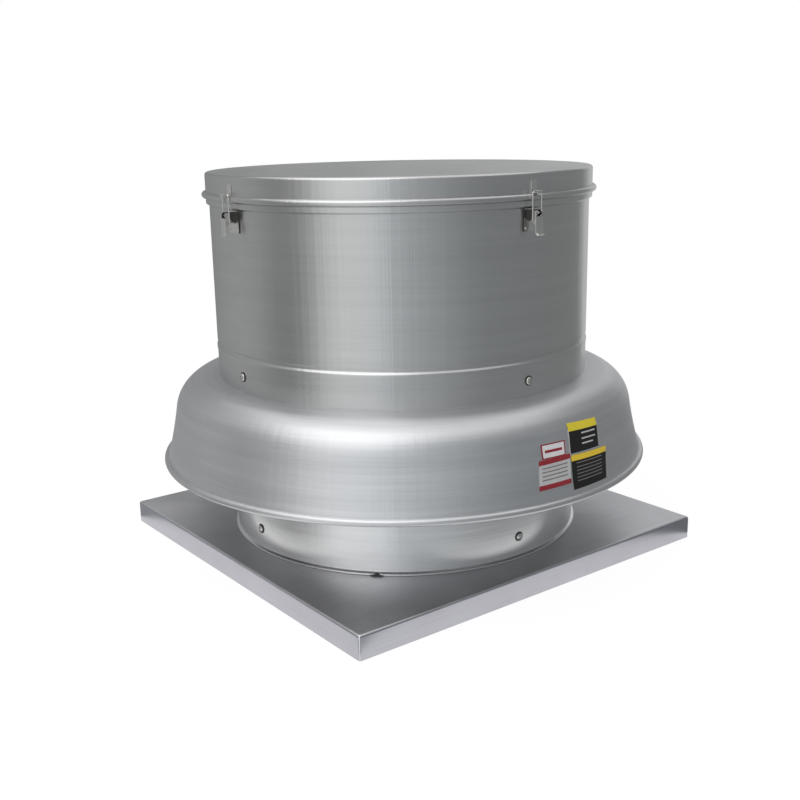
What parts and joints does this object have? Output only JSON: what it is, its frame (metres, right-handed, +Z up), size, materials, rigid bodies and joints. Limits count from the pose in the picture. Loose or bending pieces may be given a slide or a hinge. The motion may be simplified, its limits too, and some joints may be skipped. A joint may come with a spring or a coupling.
{
  "type": "roof exhaust fan",
  "caption": "Round roof exhaust fan: square curb cap, collar, flared hood, motor drum with a latched lid, and a backward-curved wheel inside.",
  "frame": {"origin": "centre of the square curb cap's lower edge, on the roof", "axes": "+Z up along the fan's axis, X and Y along the sides of the curb cap"},
  "size_m": [0.7472, 0.7472, 0.58],
  "materials": {
    "spun_aluminium": "satin spun",
    "cap_sheet": "dull brushed",
    "wheel_aluminium": "mill",
    "galvanised_steel": "galvanised",
    "bright_steel": "zinc plated",
    "latch_steel": "polished",
    "cast_aluminium": "cast",
    "motor_paint": "satin paint",
    "winding_copper": "varnished",
    "black_plastic": "matte"
  },
  "bodies": {
    "root": {"curb_cap": "cap_sheet", "collar": "spun_aluminium", "inlet_cone": "spun_aluminium", "hood": "spun_aluminium", "drum": "spun_aluminium", "lid": "spun_aluminium", "motor_plate": "galvanised_steel", "support_leg_1": "galvanised_steel", "support_leg_2": "galvanised_steel", "support_leg_3": "galvanised_steel", "support_leg_4": "galvanised_steel", "collar_screw_1": "bright_steel", "collar_screw_2": "bright_steel", "collar_screw_3": "bright_steel", "collar_screw_4": "bright_steel", "neck_screw_1": "bright_steel", "neck_screw_2": "bright_steel", "neck_screw_3": "bright_steel", "neck_screw_4": "bright_steel", "motor_bolt_1": "bright_steel", "motor_bolt_2": "bright_steel", "motor_bolt_3": "bright_steel", "motor_bolt_4": "bright_steel", "latch_base_1": "latch_steel", "latch_base_2": "latch_steel", "latch_base_3": "latch_steel", "latch_base_4": "latch_steel", "latch_catch_1": "latch_steel", "latch_catch_2": "latch_steel", "latch_catch_3": "latch_steel", "latch_catch_4": "latch_steel", "drive_end_shield": "cast_aluminium", "fan_end_shield": "cast_aluminium", "motor_frame": "motor_paint", "stator": "winding_copper", "bearing_drive": "bright_steel", "bearing_fan": "bright_steel", "fan_cowl": "motor_paint", "terminal_box": "motor_paint"},
    "rotor": {"rotor_shaft": "bright_steel", "cooling_fan": "black_plastic", "wheel_hub": "cast_aluminium", "wheel_bolt": "bright_steel", "wheel_back_plate": "wheel_aluminium", "wheel_shroud": "wheel_aluminium", "wheel_blade_1": "wheel_aluminium", "wheel_blade_2": "wheel_aluminium", "wheel_blade_3": "wheel_aluminium", "wheel_blade_4": "wheel_aluminium", "wheel_blade_5": "wheel_aluminium", "wheel_blade_6": "wheel_aluminium", "wheel_blade_7": "wheel_aluminium"},
    "lever_1": {"latch_lever_1": "latch_steel"},
    "bail_1": {"latch_bail_1": "latch_steel"},
    "lever_2": {"latch_lever_2": "latch_steel"},
    "bail_2": {"latch_bail_2": "latch_steel"},
    "lever_3": {"latch_lever_3": "latch_steel"},
    "bail_3": {"latch_bail_3": "latch_steel"},
    "lever_4": {"latch_lever_4": "latch_steel"},
    "bail_4": {"latch_bail_4": "latch_steel"}
  },
  "joints": [
    {"name": "rotor_spin", "type": "hinge", "parent": "root", "child": "rotor", "pos_m": [0, 0, 0.3], "axis": [0, 0, 1], "continuous": true},
    {"name": "lever_hinge_1", "type": "hinge", "parent": "root", "child": "lever_1", "pos_m": [0.29774, 0, 0.528], "axis": [0, -1, 0], "range_deg": [0, 100]},
    {"name": "bail_hinge_1", "type": "hinge", "parent": "lever_1", "child": "bail_1", "pos_m": [0.296, 0, 0.51815], "axis": [0, -1, 0], "range_deg": [-80, 0]},
    {"name": "lever_hinge_2", "type": "hinge", "parent": "root", "child": "lever_2", "pos_m": [0, 0.29774, 0.528], "axis": [1, 0, 0], "range_deg": [0, 100]},
    {"name": "bail_hinge_2", "type": "hinge", "parent": "lever_2", "child": "bail_2", "pos_m": [0, 0.296, 0.51815], "axis": [1, 0, 0], "range_deg": [-80, 0]},
    {"name": "lever_hinge_3", "type": "hinge", "parent": "root", "child": "lever_3", "pos_m": [-0.29774, 0, 0.528], "axis": [0, 1, 0], "range_deg": [0, 100]},
    {"name": "bail_hinge_3", "type": "hinge", "parent": "lever_3", "child": "bail_3", "pos_m": [-0.296, 0, 0.51815], "axis": [0, 1, 0], "range_deg": [-80, 0]},
    {"name": "lever_hinge_4", "type": "hinge", "parent": "root", "child": "lever_4", "pos_m": [0, -0.29774, 0.528], "axis": [-1, 0, 0], "range_deg": [0, 100]},
    {"name": "bail_hinge_4", "type": "hinge", "parent": "lever_4", "child": "bail_4", "pos_m": [0, -0.296, 0.51815], "axis": [-1, 0, 0], "range_deg": [-80, 0]}
  ],
  "couplings": [
    {"joint": "bail_hinge_1", "follows": "lever_hinge_1", "ratio": -0.8},
    {"joint": "bail_hinge_2", "follows": "lever_hinge_2", "ratio": -0.8},
    {"joint": "bail_hinge_3", "follows": "lever_hinge_3", "ratio": -0.8},
    {"joint": "bail_hinge_4", "follows": "lever_hinge_4", "ratio": -0.8}
  ]
}
